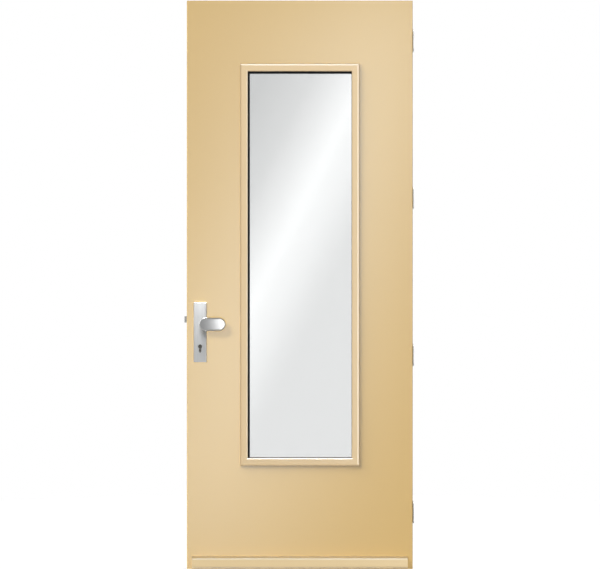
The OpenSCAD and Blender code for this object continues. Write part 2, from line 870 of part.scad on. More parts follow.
module latch_bolt() color(satin) {
    half = bolt_piece_t / 2;
    nose_x = -edge_x - latch_out;
    back_x = -edge_x + latch_back;
    translate([0, 0, latch_z - latch_h / 2]) linear_extrude(latch_h)
        polygon([[nose_x, half], [nose_x, half - latch_lip], [-edge_x + 1, -half],
                 [back_x, -half], [back_x, half]]);
    span([back_x - eps, -draw_y, tail_z0], [lug_x + lug_l, draw_y, tail_z0 + tail_h]);
    span([lug_x, -draw_y, lug_z0], [lug_x + lug_l, draw_y, tail_z0 + tail_h]);
    translate([lug_x + lug_l - eps, 0, spring_z]) rotate([0, 90, 0])
        cylinder(h = spring_rod_l, r = spring_rod_r);
}

// Coil spring between the latch's lug and the back of the case
spring_steps = 12;
spring_sides = 6;
spring_x0 = lug_x + lug_l + spring_wire_r + 0.05;
spring_l = inside_x1 - spring_wire_r - 0.05 - spring_x0;
spring_rings = spring_turns * spring_steps;
spring_points = [
    for (i = [0 : spring_rings], k = [0 : spring_sides - 1])
        let (turn = 360 * i / spring_steps, side = 360 * k / spring_sides,
             r = spring_r + spring_wire_r * cos(side))
        [spring_l * i / spring_rings + spring_wire_r * sin(side), r * cos(turn), r * sin(turn)]
];
function spring_at(i, k) = i * spring_sides + (k % spring_sides);
spring_faces = concat(
    [[for (k = [0 : spring_sides - 1]) k]],
    [for (i = [0 : spring_rings - 1], k = [0 : spring_sides - 1])
        [spring_at(i, k + 1), spring_at(i, k), spring_at(i + 1, k)]],
    [for (i = [0 : spring_rings - 1], k = [0 : spring_sides - 1])
        [spring_at(i, k + 1), spring_at(i + 1, k), spring_at(i + 1, k + 1)]],
    [[for (k = [spring_sides - 1 : -1 : 0]) spring_at(spring_rings, k)]]
);

module latch_spring() color(steel) {
    translate([spring_x0, 0, spring_z]) polyhedron(spring_points, spring_faces);
}

module dead_bolt() color(satin) {
    half = bolt_piece_t / 2;
    head_x1 = -edge_x + bolt_head_l;
    span([-edge_x, -half, bolt_z], [head_x1, half, bolt_z + bolt_h]);
    difference() {
        span([head_x1 - eps, -tail_y, notch_z], [tail_x1, tail_y, bolt_z + bolt_h - 2]);
        translate([guide_x, 0, guide_z]) front_view(3 * tail_y)
            slot_shape(bolt_throw, guide_r + slide_gap);
    }
    span([notch_mid - talon_reach - talon_l, -tail_y, talon_z],
         [notch_mid - talon_reach, tail_y, notch_z + eps]);
    span([notch_mid + talon_reach, -tail_y, talon_z], [tail_x1, tail_y, notch_z + eps]);
}

module square_hole(y0, y1) {
    s = spindle_s + 2 * spindle_fit;
    translate([axis_x - s / 2, y0, follower_z - s / 2]) cube([s, y1 - y0, s]);
}

module follower() color(steel) {
    difference() {
        translate([axis_x, 0, follower_z]) {
            rotate([90, 0, 0]) cylinder(h = bolt_piece_t, r = hub_r, center = true);
            rotate([90, 0, 0]) cylinder(h = case_t, r = journal_r, center = true);
            rotate([0, -lever_turn / 2, 0]) {
                translate([-arm_half, -draw_y, hub_r / 2])
                    cube([2 * arm_half, 2 * draw_y, arm_r - hub_r / 2]);
                translate([0, 0, arm_r]) rotate([90, 0, 0])
                    cylinder(h = 2 * draw_y, r = arm_nose_r, center = true);
            }
        }
        square_hole(-case_t, case_t);
    }
}

// Cylinder

module cylinder_body() color(satin) {
    difference() {
        cylinder_cut(0, cyl_y0, cyl_y1);
        translate([axis_x, 0, cyl_z]) rotate([90, 0, 0]) {
            cylinder(h = 4 * cyl_y1, r = plug_r + running, center = true);
            cylinder(h = 2 * cam_gap, r = cam_r + slide_gap, center = true);
        }
        translate([axis_x, 0, cyl_screw_z]) rotate([0, 90, 0])
            cylinder(h = 2 * cyl_web, r = cyl_screw_r + screw_fit, center = true);
    }
}

// Plug from a point on the cylinder's axis out to its face, with its keyway
module plug(y0, y1, mouth) {
    difference() {
        translate([axis_x, y1, cyl_z]) rotate([90, 0, 0]) cylinder(h = y1 - y0, r = plug_r);
        translate([axis_x, mouth, cyl_z - 0.6]) cube([key_w, 2 * key_depth, key_h], center = true);
    }
}

module outer_plug() color(brass) plug(cyl_y0, -cam_w / 2, cyl_y0);
module inner_plug() color(brass) plug(cam_gap, cyl_y1, cyl_y1);

module cylinder_cam() color(steel) {
    translate([axis_x, 0, cyl_z]) rotate([90, 0, 0]) {
        cylinder(h = cam_w, r = cyl_r - slide_gap, center = true);
        intersection() {
            cylinder(h = cam_w, r = cam_r, center = true);
            translate([0, -cam_r / 2 - 2, 0]) cube([cyl_web - 2, cam_r + 4, cam_w], center = true);
        }
    }
}

module cylinder_screw() color(steel) {
    translate([-edge_x, 0, cyl_screw_z]) rotate([0, -90, 0])
        screw(backset + cyl_web, cyl_screw_r, cyl_screw_head);
}

// Plates and handles

// Edge of a plate: x out from the centre of its corner's radius, y from its back to its front
module plate_edge(t) {
    difference() {
        square([plate_corner_r, t]);
        translate([plate_corner_r - plate_edge_r, t - plate_edge_r]) difference() {
            square(plate_edge_r + 1);
            circle(plate_edge_r);
        }
    }
}

// Blank plate standing on the inside face, about the lever axis in X
module plate_blank(t) {
    half = [plate_w / 2 - plate_corner_r, plate_h / 2 - plate_corner_r];
    translate([axis_x, face_y, plate_mid_z]) rotate([-90, 0, 0]) {
        translate([-half[0], -half[1], 0]) cube([2 * half[0], 2 * half[1], t]);
        for (side = [0 : 3]) rotate(90 * side) translate([half[side % 2], half[(side + 1) % 2], 0]) {
            rotate_extrude(angle = 90) plate_edge(t);
            rotate([90, 0, 0]) linear_extrude(2 * half[(side + 1) % 2]) plate_edge(t);
        }
    }
}

// Hollow in the back of a plate, which leaves walls, bosses and a web round the cylinder
module plate_hollow(t, boss_x, axis_boss) {
    depth = t - plate_wall;
    translate([axis_x, face_y - 1, 0]) difference() {
        translate([plate_wall - plate_w / 2, 0, plate_z0 + plate_wall])
            cube([plate_w - 2 * plate_wall, depth + 1, plate_h - 2 * plate_wall]);
        for (z = [upper_bolt_z, lower_bolt_z])
            translate([0, 0, z]) rotate([-90, 0, 0]) cylinder(h = t, r = boss_r);
        translate([boss_x - axis_x, 0, follower_z]) rotate([-90, 0, 0])
            cylinder(h = t, r = axis_boss);
        translate([-cyl_r - plate_wall, 0, cyl_z - cyl_h + cyl_r - plate_wall])
            cube([2 * (cyl_r + plate_wall), t, cyl_h + 2 * plate_wall]);
    }
}

module outer_plate() color(satin) {
    mirror([0, 1, 0]) difference() {
        union() {
            difference() {
                plate_blank(outer_plate_t);
                plate_hollow(outer_plate_t, neck_x, neck_r + plate_wall);
            }
            at_plate_bolts() translate([0, 0, post_end_y])
                cylinder(h = face_y + outer_plate_t - plate_wall / 2 - post_end_y, r = post_r);
        }
        at_plate_bolts() cylinder(h = post_end_y + post_depth, r = bolt_shank + screw_fit);
        cylinder_cut(cyl_hole_fit, face_y - 1, face_y + 2 * outer_plate_t);
        translate([neck_x, 0, follower_z]) rotate([-90, 0, 0])
            cylinder(h = 2 * face_y, r = neck_spigot_r + screw_fit);
    }
}

module inner_plate() color(satin) {
    difference() {
        plate_blank(inner_plate_t);
        plate_hollow(inner_plate_t, axis_x, bush_r + plate_wall / 2);
        cylinder_cut(cyl_hole_fit, face_y - 1, face_y + 2 * inner_plate_t);
        translate([axis_x, 0, follower_z]) rotate([-90, 0, 0])
            cylinder(h = 2 * face_y, r = bush_r + screw_fit);
        at_plate_bolts() translate([0, 0, face_y + inner_plate_t])
            screw_hole(inner_plate_t + face_y, bolt_shank, bolt_head);
    }
}

// Half section of the knob's pad: x out from its middle, y from its back to its front
module pad_section() {
    difference() {
        square([pad_r, pad_t]);
        translate([pad_r - pad_edge_r, pad_t - pad_edge_r]) difference() {
            square(pad_edge_r + 1);
            circle(pad_edge_r);
        }
        translate([pad_r - pad_back_r, pad_back_r]) difference() {
            translate([0, -pad_back_r - 1]) square(pad_back_r + 1);
            circle(pad_back_r);
        }
    }
}

// Pad with half-round ends lying flat: its back on the ground, its front up, its left end at 0
module pad_body() {
    mid = pad_l - 2 * pad_r;
    translate([pad_r, 0, 0]) rotate([0, 0, 90]) rotate_extrude(angle = 180) pad_section();
    translate([pad_l - pad_r, 0, 0]) rotate([0, 0, -90]) rotate_extrude(angle = 180) pad_section();
    translate([pad_r, 0, 0]) rotate([90, 0, 90]) linear_extrude(mid) {
        pad_section();
        mirror([1, 0]) pad_section();
    }
}

// Pad with its front crowned, which leaves a steeper border round it
module crowned_pad() {
    intersection() {
        pad_body();
        translate([pad_l / 2 + pad_lean, 0, pad_t - pad_crown]) sphere(pad_crown, $fn = 256);
    }
}

module outer_knob() color(satin) {
    plate_y = -face_y - outer_plate_t;
    pad_y = plate_y - pad_gap;
    bend_y = pad_y + neck_bend_r - neck_r;
    translate([pad_x0, pad_y, follower_z]) rotate([90, 0, 0]) crowned_pad();
    translate([neck_x, plate_y, follower_z]) rotate([90, 0, 0]) {
        translate([0, 0, -plate_wall - 2]) cylinder(h = plate_wall + 2, r = neck_spigot_r);
        cylinder(h = neck_foot_h, r = neck_foot_r);
        cylinder(h = plate_y - bend_y, r = neck_r);
    }
    intersection() {
        translate([neck_x + neck_bend_r, bend_y, follower_z]) rotate([0, 0, 180])
            rotate_extrude(angle = 90) translate([neck_bend_r, 0]) circle(neck_r);
        translate([pad_x0 - pad_l, pad_y - pad_t / 2, 0]) cube([2 * pad_l, pad_gap, leaf_h]);
    }
}

module lever_bush() color(black) {
    translate([axis_x, face_y, follower_z]) rotate([-90, 0, 0]) difference() {
        union() {
            cylinder(h = inner_plate_t, r = bush_r);
            translate([0, 0, inner_plate_t]) cylinder(h = bush_flange, r = bush_r + 2);
        }
        translate([0, 0, -1]) cylinder(h = 2 * inner_plate_t, r = bush_r - bush_wall);
    }
}

module lever_section() {
    translate([0, -(lever_h - lever_t) / 2]) rotate(90) slot_shape(lever_h - lever_t, lever_t / 2);
}

module inner_lever() color(satin) {
    plate_y = face_y + inner_plate_t;
    arm_y = plate_y + lever_gap + lever_t / 2;
    bend_y = arm_y - lever_bend_r;
    difference() {
        union() {
            translate([axis_x, face_y + 2, follower_z]) rotate([-90, 0, 0])
                cylinder(h = bend_y - face_y - 2, r = lever_neck_r);
            translate([axis_x + lever_bend_r, bend_y, follower_z]) rotate([0, 0, 90])
                rotate_extrude(angle = 90) translate([lever_bend_r, 0]) lever_section();
            intersection() {
                translate([axis_x + lever_bend_r, arm_y, follower_z]) rotate([90, 0, 90])
                    linear_extrude(lever_l - lever_bend_r) lever_section();
                translate([axis_x, arm_y, follower_z]) front_view(2 * lever_t)
                    translate([lever_l / 2, 0]) round_rect(lever_l, lever_h + 1, lever_h / 2.5);
            }
        }
        square_hole(face_y, bend_y - 2);
    }
}

module spindle() color(steel) {
    y1 = face_y + inner_plate_t + lever_gap + lever_t / 2 - lever_bend_r - 3;
    translate([axis_x - spindle_s / 2, -case_y, follower_z - spindle_s / 2])
        cube([spindle_s, y1 + case_y, spindle_s]);
}

module plate_bolts() color(steel) {
    at_plate_bolts() translate([0, 0, face_y + inner_plate_t])
        screw(face_y + inner_plate_t + post_end_y + post_depth - 5, bolt_shank, bolt_head);
}

// Hinges

// Knuckle number i of a hinge, counted from below, grown by a gap at each end
module knuckle(i, r, play) {
    translate([pin_x, pin_y, -hinge_h / 2 + i * knuckle_h + play / 2])
        cylinder(h = knuckle_h - play, r = r);
}

// One hinge leaf about its own middle height: its plate from x0, its knuckles by number
module hinge_leaf(x0, own, other, bore, hole_r, csk_x, csk_turn) {
    csk_depth = hinge_head - hole_r;
    clear_y = pin_y - knuckle_r - knuckle_play;
    difference() {
        union() {
            difference() {
                translate([x0, 0, 0]) side_view() linear_extrude(hinge_t) hinge_outline(0);
                for (i = other)
                    translate([x0 - 1, clear_y, -hinge_h / 2 + i * knuckle_h - knuckle_play / 2])
                        cube([hinge_t + 2, leaf_reach, knuckle_h + knuckle_play]);
            }
            for (i = own) knuckle(i, knuckle_r, knuckle_play);
        }
        translate([pin_x, pin_y, -hinge_h]) cylinder(h = 2 * hinge_h, r = bore);
        at_hinge_screws(0) translate([csk_x, 0, 0]) rotate([0, csk_turn, 0]) {
            translate([0, 0, -2 * hinge_t]) cylinder(h = 3 * hinge_t, r = hole_r);
            translate([0, 0, -csk_depth])
                cylinder(h = csk_depth, r1 = hole_r, r2 = hinge_head + screw_fit);
            cylinder(h = 1, r = hinge_head + screw_fit);
        }
    }
}

module door_hinge_leaf(n) color(steel) {
    translate([0, 0, hinge_z[n]])
        hinge_leaf(edge_x - hinge_t, [1, 3], [0, 2, 4], pin_r + running,
                   hinge_shank + screw_fit, edge_x, 90);
}

module frame_hinge_leaf(n) color(steel) {
    translate([0, 0, hinge_z[n]])
        hinge_leaf(edge_x + hinge_gap, [0, 2, 4], [1, 3], pin_r + running / 2,
                   hinge_hole_r, edge_x + hinge_gap, -90);
}

module hinge_pins() color(steel) {
    for (z = hinge_z) translate([pin_x, pin_y, z]) {
        cylinder(h = hinge_h, r = pin_r, center = true);
        for (s = [0, 1]) mirror([0, 0, s]) translate([0, 0, hinge_h / 2]) {
            cylinder(h = pin_cap_h - 1, r = pin_cap_r);
            translate([0, 0, pin_cap_h - 1]) cylinder(h = 1, r1 = pin_cap_r, r2 = pin_cap_r - 1);
        }
    }
}

module hinge_screws() color(steel) {
    for (z = hinge_z) at_hinge_screws(z) translate([edge_x, 0, 0]) rotate([0, 90, 0])
        screw(hinge_screw_l, hinge_shank, hinge_head);
}

outer_skin();
inner_skin();
lock_stile();
hinge_stile();
top_rail();
bottom_rail();
aperture_stile(-1);  // aperture_stile_lock
aperture_stile(1);  // aperture_stile_hinge
aperture_rail(open_z1);  // aperture_rail_top
aperture_rail(open_z0 - liner_w);  // aperture_rail_bottom
insulation_core();
outer_bead_top();
outer_bead_bottom();
outer_bead_side(-1);  // outer_bead_lock
outer_bead_side(1);  // outer_bead_hinge
inner_bead() bead_at_top(bead_inside_r);  // inner_bead_top
inner_bead() bead_at_bottom(bead_inside_r);  // inner_bead_bottom
inner_bead() bead_at_side(-1, bead_inside_r);  // inner_bead_lock
inner_bead() bead_at_side(1, bead_inside_r);  // inner_bead_hinge
bead_screws();
glazing_tapes();
pane(-glass_y);  // outer_pane
pane(cavity_t / 2);  // inner_pane
spacer_bar();
edge_sealant();
glazing_packers();
weather_bar();
weather_bar_rail();
weather_bar_end_caps();
weather_bar_screws();
lock_case();
lock_cover();
forend();
lock_screws();
latch_bolt();
latch_spring();
dead_bolt();
follower();
cylinder_body();
outer_plug();
cylinder_cam();
inner_plug();
cylinder_screw();
outer_plate();
outer_knob();
inner_plate();
inner_lever();
lever_bush();
spindle();
plate_bolts();
door_hinge_leaf(0);  // door_hinge_leaf_1
door_hinge_leaf(1);  // door_hinge_leaf_2
door_hinge_leaf(2);  // door_hinge_leaf_3
door_hinge_leaf(3);  // door_hinge_leaf_4
frame_hinge_leaf(0);  // frame_hinge_leaf_1
frame_hinge_leaf(1);  // frame_hinge_leaf_2
frame_hinge_leaf(2);  // frame_hinge_leaf_3
frame_hinge_leaf(3);  // frame_hinge_leaf_4
hinge_pins();
hinge_screws();
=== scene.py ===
import json
import math

import bmesh
import bpy
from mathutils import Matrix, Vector

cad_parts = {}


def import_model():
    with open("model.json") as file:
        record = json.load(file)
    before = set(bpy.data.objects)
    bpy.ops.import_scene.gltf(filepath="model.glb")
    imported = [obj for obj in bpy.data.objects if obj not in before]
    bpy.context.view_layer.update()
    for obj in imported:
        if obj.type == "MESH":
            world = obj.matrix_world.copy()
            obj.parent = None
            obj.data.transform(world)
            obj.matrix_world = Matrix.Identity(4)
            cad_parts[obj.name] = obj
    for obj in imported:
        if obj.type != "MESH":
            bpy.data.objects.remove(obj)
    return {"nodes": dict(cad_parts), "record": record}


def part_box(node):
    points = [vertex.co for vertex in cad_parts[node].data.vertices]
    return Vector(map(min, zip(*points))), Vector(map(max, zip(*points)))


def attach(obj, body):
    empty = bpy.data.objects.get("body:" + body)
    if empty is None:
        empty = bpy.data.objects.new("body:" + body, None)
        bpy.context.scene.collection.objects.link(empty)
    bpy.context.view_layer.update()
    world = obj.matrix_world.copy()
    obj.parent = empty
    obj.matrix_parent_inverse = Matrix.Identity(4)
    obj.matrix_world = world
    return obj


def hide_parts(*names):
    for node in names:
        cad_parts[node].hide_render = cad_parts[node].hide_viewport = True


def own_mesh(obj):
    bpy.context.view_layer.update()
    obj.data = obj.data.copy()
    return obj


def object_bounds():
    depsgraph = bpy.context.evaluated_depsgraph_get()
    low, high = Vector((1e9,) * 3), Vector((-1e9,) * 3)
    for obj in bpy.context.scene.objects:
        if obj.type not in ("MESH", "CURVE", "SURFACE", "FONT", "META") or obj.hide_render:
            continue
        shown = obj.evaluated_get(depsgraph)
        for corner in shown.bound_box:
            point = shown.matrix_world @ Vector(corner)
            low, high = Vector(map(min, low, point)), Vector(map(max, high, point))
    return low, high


# The photograph's frame and where the door stands in it
IMAGE_W, IMAGE_H = 600, 569     # pixels
PIXEL = 0.004117                # metres of the door's outside face that a pixel covers
PHOTO_MID_X = 299.75            # pixel column of the door's middle
SENSOR = 36.0                   # mm
CAMERA_AWAY = 10.0              # metres from the outside face

# The two pieces that stand in for a node
WELD = 0.000001                 # metres, points of the knob's mesh nearer than this are joined
CREASE = math.radians(20)       # sharper edges stay sharp on the knob
BIG_FACES = 100                 # weight of large faces in the knob's normals, where 50 is even

# Finishes
PAINT_SHADE = 0.03              # how much darker the paint is in places
PAINT_SHINE = (0.6, 0.81, 1.0, 1.0)     # tint of what the paint mirrors
GLASS_TINT = (0.78, 0.785, 0.785, 1.0)
WHITE = (1.0, 1.0, 1.0, 1.0)
MIX_SHARE, MIX_A, MIX_B, MIX_OUT = 0, 6, 7, 2   # where a Mix node has its sockets for colours

# Far lamps, each with its share of LEVEL and the direction that it comes from
LEVEL = 0.93                    # brightness of a white matt wall that faces the camera
KEY = (0.34, (-0.55, -1.0, 0.6))        # on everything, from the upper left
GRAZE = (0.53, (-3.0, -1.0, 3.2))       # low across the leaf's outside face, from the upper left
COUNTER = (0.14, (2.0, -1.0, -2.2))     # low across that face, from the lower right
FILL = (0.64, (0.3, -1.0, -0.35))       # on all but that face, from the lower right
BACK = (0.75, (0.7, 1.0, 0.8))          # on the inside
KEY_SOFT, SOFT = math.radians(14), math.radians(40)
FAR = 4                         # lengths of its direction that a far lamp stands away

# The white ground round the door
SKY_SHARE = 0.12                # of LEVEL, on matt surfaces from all round
SKY_FRONT = 0.25                # what metal and paint mirror from the camera's side
SKY_FADE = 0.5                  # that rises to 1 as a ray's Y goes from minus this to this
FLOOR_R = 3.5
FLOOR_SIDES = 96
FLOOR_DROP = 0.0005             # metres under the door's foot
FLOOR_GLOW = (0.65, 1.27)       # share and strength of the floor's own light, where it is seen
FLOOR_PALE, FLOOR_BOUNCE = 0.8, 0.3     # its grey where it is seen, and to the light it sends on

# Near lamps that only the lock plate or the knob mirrors: place, size and watts
PLATE_LAMP = ((-0.45, -0.79, 1.67), 0.5, 25.0)
PLATE_FOOT_LAMP = ((-0.45, -0.8, 0.30), 0.5, 2.6)
KNOB_LAMP = ((0.0, -1.2, 1.1), 0.6, 4.2)

# Large lamps beyond the door's edges, the last one for the lower moulding alone
STRIP_AWAY = 2.3
STRIP_WIDE, STRIP_LONG = 3.4, 4.0
STRIP_RIGHT_WATTS, STRIP_TOP_WATTS, STRIP_SILL_WATTS = 190, 310, 800

# The soft box whose bright diagonal shows in the paint, and the glowing panel behind the door
# whose drawn diagonal shows through the glass as a painted reflection
BOX_Y = -3.0
BOX_SIZE = (1.5, 3.4)
BOX_WATTS = 1.0                 # its own nodes set how bright it is
BOX_PEAK = 3.2                  # brightness on the line
LAMP_WATTS = 4                  # what a square metre of lamp needs for a brightness of 1
# glowing panel behind the door: its diagonal, seen through the glass, is a painted reflection
CARD_Y = 0.7
CARD_SIZE = (4.4, 4.4)
CARD_LOW, CARD_HIGH = 0.90, 1.78
BAND_LINE = ((340, 128), (268, 272))    # two pixels on the bright line in the glass
PAINTED_REFLECTION_BAND = (                          # metres from the line on the door, share of the peak
    (-0.37, 0.15), (-0.20, 0.37), (-0.10, 0.67), (-0.05, 0.84), (0.0, 1.0), (0.05, 0.88),
    (0.10, 0.81), (0.20, 0.58), (0.25, 0.50), (0.60, 0.50))
PAINT_BAND = (
    (-1.20, 0.30), (-0.70, 0.30), (-0.35, 0.40), (-0.10, 0.85), (0.0, 1.0), (0.12, 0.95),
    (0.30, 0.60), (0.60, 0.28), (0.85, 0.10), (1.10, 0.0))


def srgb(r, g, b):
    """A colour given on the 0 to 255 scale, as the linear values that shaders use."""
    def linear(c):
        c /= 255
        return c / 12.92 if c <= 0.04045 else ((c + 0.055) / 1.055) ** 2.4
    return (linear(r), linear(g), linear(b), 1.0)


def darker(colour, shade):
    """The colour with that share of its light taken away."""
    return tuple(c * (1 - shade) for c in colour[:3]) + (1.0,)


# Node helpers

class Tree:
    """The node tree of a material, a lamp or the world, emptied, and short calls to fill it."""

    def __init__(self, owner):
        self.owner = owner
        owner.use_nodes = True
        owner.node_tree.nodes.clear()

    def feed(self, socket, value):
        """Gives an input a constant, or links another node's output to it."""
        if isinstance(value, bpy.types.NodeSocket):
            self.owner.node_tree.links.new(value, socket)
        else:
            socket.default_value = value

    def add(self, kind, *values, **named):
        """A shader node whose inputs get these values, in order or by name."""
        node = self.owner.node_tree.nodes.new("ShaderNode" + kind)
        for socket, value in zip(node.inputs, values):
            self.feed(socket, value)
        for name, value in named.items():
            self.feed(node.inputs[name.replace("_", " ")], value)
        return node

    def show(self, kind, shader):
        """Makes a shader the surface of what the tree belongs to."""
        self.add("Output" + kind, Surface=shader)

    def span(self, value, low, high, to_low=0.0, to_high=1.0, kind="SMOOTHSTEP"):
        """Goes from to_low to to_high as value goes from low to high."""
        node = self.add("MapRange", value, low, high, to_low, to_high)
        node.interpolation_type = kind
        return node.outputs[0]

    def calculate(self, operation, a, b):
        node = self.add("Math", a, b)
        node.operation = operation
        return node.outputs[0]

    def on_rays(self, *kinds):
        """1 on rays of any of these kinds, else 0."""
        path = self.add("LightPath")
        share, *others = [path.outputs["Is " + kind + " Ray"] for kind in kinds]
        for other in others:
            share = self.calculate("MAXIMUM", share, other)
        return share


class Finish(Tree):
    """A material with one Principled shader, and the patterns that drive it."""

    def __init__(self, name, rough, **shader):
        super().__init__(bpy.data.materials.new(name))
        self.shader = self.add("BsdfPrincipled", Roughness=rough, **shader)
        self.show("Material", self.shader.outputs[0])
        self.coords = self.add("TexCoord").outputs["Object"]
        self.normal = None

    def place(self, per_metre):
        """Coordinates for a pattern with that many repeats per metre, or one number an axis."""
        stretch = per_metre if isinstance(per_metre, tuple) else (per_metre,) * 3
        return self.add("Mapping", Vector=self.coords, Scale=stretch).outputs[0]

    def noise(self, per_metre, detail=2.0, rough=0.5):
        """Soft blobs of 0 to 1."""
        return self.add("TexNoise", Vector=self.place(per_metre), Scale=1.0, Detail=detail,
                        Roughness=rough).outputs["Fac"]

    def cells(self, per_metre, output="Distance"):
        """Small cells, as the distance from their middles or a colour for each."""
        return self.add("TexVoronoi", Vector=self.place(per_metre), Scale=1.0).outputs[output]

    def waves(self, per_metre, along, distort=0.0, detail=2.0):
        """Parallel bands that follow one another along an axis."""
        node = self.add("TexWave", Vector=self.place(per_metre), Scale=1.0, Distortion=distort,
                        Detail=detail)
        node.bands_direction = along
        return node.outputs["Fac"]

    def mix(self, share, a, b):
        """Colour a turning into b as share goes from 0 to 1, each a constant or a socket."""
        node = self.add("Mix")
        node.data_type = "RGBA"
        for index, value in ((MIX_SHARE, share), (MIX_A, a), (MIX_B, b)):
            self.feed(node.inputs[index], value)
        return node.outputs[MIX_OUT]

    def colour(self, value):
        self.feed(self.shader.inputs["Base Color"], value)

    def roughness(self, value, low, high):
        """Roughness from low to high as value goes from a quarter to three quarters."""
        self.feed(self.shader.inputs["Roughness"], self.span(value, 0.25, 0.75, low, high))

    def bump(self, value, depth, strength):
        """Relief of that depth in metres, added to the relief already there."""
        node = self.add("Bump", Strength=strength, Distance=depth, Height=value)
        if self.normal is not None:
            self.feed(node.inputs["Normal"], self.normal)
        self.normal = node.outputs[0]
        self.feed(self.shader.inputs["Normal"], self.normal)


# Materials, one function each

def paint(name, base, gloss):
    """Satin spray paint: an even colour with the fine ripple that sprayed paint has."""
    m = Finish(name, gloss, Coat_Weight=0.3, Coat_Roughness=0.2, Specular_IOR_Level=1.0,
               Specular_Tint=PAINT_SHINE)
    m.colour(m.mix(m.noise(3.0, 3.0), darker(base, PAINT_SHADE), base))
    m.bump(m.noise(700.0), 0.000006, 0.5)
    m.bump(m.noise(120.0, 1.0), 0.00001, 0.35)
    return m.owner


def leaf_paint():
    return paint("leaf_paint", srgb(212, 177, 110), 0.25)


def bead_paint():
    return paint("bead_paint", srgb(230, 202, 157), 0.26)


def bar_paint():
    return paint("bar_paint", srgb(238, 212, 163), 0.28)


def timber():
    """Planed softwood with its grain along the height."""
    m = Finish("timber", 0.6)
    rings = m.waves((26.0, 26.0, 1.6), "X", 7.0, 3.0)
    fibre = m.noise((900.0, 900.0, 14.0), 3.0, 0.6)
    wood = m.mix(rings, srgb(196, 150, 98), srgb(168, 118, 68))
    m.colour(m.mix(m.span(fibre, 0.35, 0.7, 0.0, 0.35), wood, srgb(126, 84, 46)))
    m.roughness(fibre, 0.5, 0.72)
    m.bump(fibre, 0.0002, 0.6)
    return m.owner


def foam():
    """Cream insulation foam with its bubbles cut open."""
    m = Finish("foam", 0.9)
    bubbles = m.cells(1400.0)
    m.colour(m.mix(bubbles, srgb(236, 222, 170), srgb(214, 196, 140)))
    m.bump(bubbles, 0.0004, 0.8)
    return m.owner


def glass():
    """Tinted float glass."""
    m = Finish("glass", 0.0, Transmission_Weight=1.0, IOR=1.5)
    m.colour(GLASS_TINT)
    return m.owner


def spacer():
    """Black spacer bar with fine pits."""
    m = Finish("spacer", 0.42)
    pits = m.cells(450.0)
    m.colour(m.mix(m.span(pits, 0.1, 0.25), srgb(8, 8, 8), srgb(30, 30, 31)))
    m.bump(pits, 0.0002, 0.5)
    return m.owner


def sealant():
    """Black sealant, smoothed by hand."""
    m = Finish("sealant", 0.55)
    skin = m.noise(260.0, 4.0, 0.6)
    m.colour(m.mix(skin, srgb(16, 16, 17), srgb(34, 34, 34)))
    m.roughness(skin, 0.45, 0.7)
    m.bump(skin, 0.0005, 0.5)
    return m.owner


def tape():
    """Black foam tape."""
    m = Finish("tape", 0.85)
    bubbles = m.cells(1800.0)
    m.colour(m.mix(bubbles, srgb(26, 26, 27), srgb(46, 46, 46)))
    m.bump(bubbles, 0.0002, 0.7)
    return m.owner


def packer():
    """Blue moulded plastic with fine ribs."""
    m = Finish("packer", 0.42)
    m.colour(m.mix(m.noise(90.0), srgb(52, 84, 140), srgb(64, 98, 156)))
    m.roughness(m.noise(200.0), 0.36, 0.5)
    m.bump(m.waves(160.0, "Y"), 0.0004, 0.6)
    return m.owner


def metal(name, base, rough, grain, shade=0.12, depth=0.00002, spread=0.08):
    """Brushed or drawn metal, its lines along the axis with the smallest grain number."""
    m = Finish(name, rough, Metallic=1.0)
    lines = m.noise(grain, 3.0, 0.65)
    blotch = m.noise(25.0, 3.0)
    dark = darker(base, shade)
    tone = m.mix(m.span(lines, 0.3, 0.7), dark, base)
    m.colour(m.mix(m.span(blotch, 0.3, 0.7, 0.0, 0.25), tone, dark))
    m.roughness(lines, rough - spread, rough + spread)
    m.bump(lines, depth, 0.6)
    return m


def rail_aluminium():
    """Plain aluminium, drawn along the rail."""
    return metal("rail_aluminium", srgb(206, 207, 208), 0.36, (6.0, 900.0, 900.0)).owner


def screw_steel():
    """Zinc-plated steel with the grainy skin that plating leaves."""
    m = metal("screw_steel", srgb(206, 206, 202), 0.3, 700.0)
    m.bump(m.cells(900.0), 0.00002, 0.4)
    return m.owner


def case_steel():
    """Pressed zinc-plated sheet with a faint spangle."""
    m = Finish("case_steel", 0.38, Metallic=1.0)
    sheet = m.mix(m.noise(30.0, 3.0), srgb(182, 185, 188), srgb(204, 206, 208))
    m.colour(m.mix(0.06, sheet, m.cells(130.0, "Color")))
    m.roughness(m.noise(60.0, 3.0), 0.3, 0.46)
    m.bump(m.noise(900.0), 0.00002, 0.5)
    return m.owner


def bolt_steel():
    """Satin nickel with rub marks along the bolts' travel."""
    return metal("bolt_steel", srgb(216, 215, 211), 0.26, (12.0, 800.0, 800.0), 0.16).owner


def spring_steel():
    """Bare spring wire."""
    return metal("spring_steel", srgb(168, 170, 172), 0.28, 900.0).owner


def cylinder_nickel():
    """Satin nickel, ground along the cylinder."""
    return metal("cylinder_nickel", srgb(208, 205, 198), 0.26, (800.0, 10.0, 800.0)).owner


def plug_brass():
    """Brass under a grey nickel plating."""
    return metal("plug_brass", srgb(176, 172, 162), 0.3, (900.0, 12.0, 900.0)).owner


def plate_aluminium():
    """Satin aluminium, brushed up and down."""
    return metal("plate_aluminium", srgb(223, 224, 224), 0.36, (1500.0, 1500.0, 9.0), 0.1).owner


def handle_aluminium():
    """Fine satin aluminium, brushed from side to side."""
    return metal("handle_aluminium", srgb(222, 223, 223), 0.33, (9.0, 1300.0, 1300.0),
                 shade=0.04, depth=0.000004, spread=0.03).owner


def bush_plastic():
    """Black moulded plastic."""
    m = Finish("bush_plastic", 0.45)
    grain = m.noise(1500.0)
    m.colour(m.mix(grain, srgb(24, 24, 25), srgb(44, 44, 45)))
    m.roughness(grain, 0.38, 0.55)
    m.bump(grain, 0.00005, 0.6)
    return m.owner


